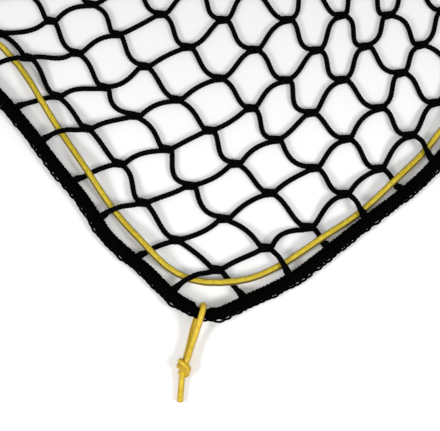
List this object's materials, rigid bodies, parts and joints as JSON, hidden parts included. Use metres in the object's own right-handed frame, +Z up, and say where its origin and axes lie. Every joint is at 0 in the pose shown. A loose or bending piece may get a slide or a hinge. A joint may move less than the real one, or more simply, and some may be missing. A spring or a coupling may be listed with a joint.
{
  "type": "cargo net",
  "caption": "Rectangular cargo net of knotless black twine in a thick whipped rope border, with a bright line woven round its rim and a knotted tie at each corner, laid out flat.",
  "frame": {"origin": "middle of the box round the border rope, on the surface that the net lies on", "axes": "+Z up from the surface, +Y along the net's rows of bars to the far long end, +X across the net; the pictured corner is the one towards -X and -Y"},
  "size_m": [0.7157, 0.788, 0.0194],
  "materials": {
    "black_twine": "matt braided filament twine, slightly fuzzy",
    "black_rope": "matt rope overcast with binding thread",
    "yellow_line": "smooth braided sheath with a slight sheen",
    "amber_cord": "fine braided cord with a slight sheen"
  },
  "bodies": {
    "root": {"mesh_panel": "black_twine", "border_rope": "black_rope", "perimeter_line": "yellow_line", "corner_tie_ws": "amber_cord", "corner_tie_es": "amber_cord", "corner_tie_en": "amber_cord", "corner_tie_wn": "amber_cord"}
  },
  "joints": []
}
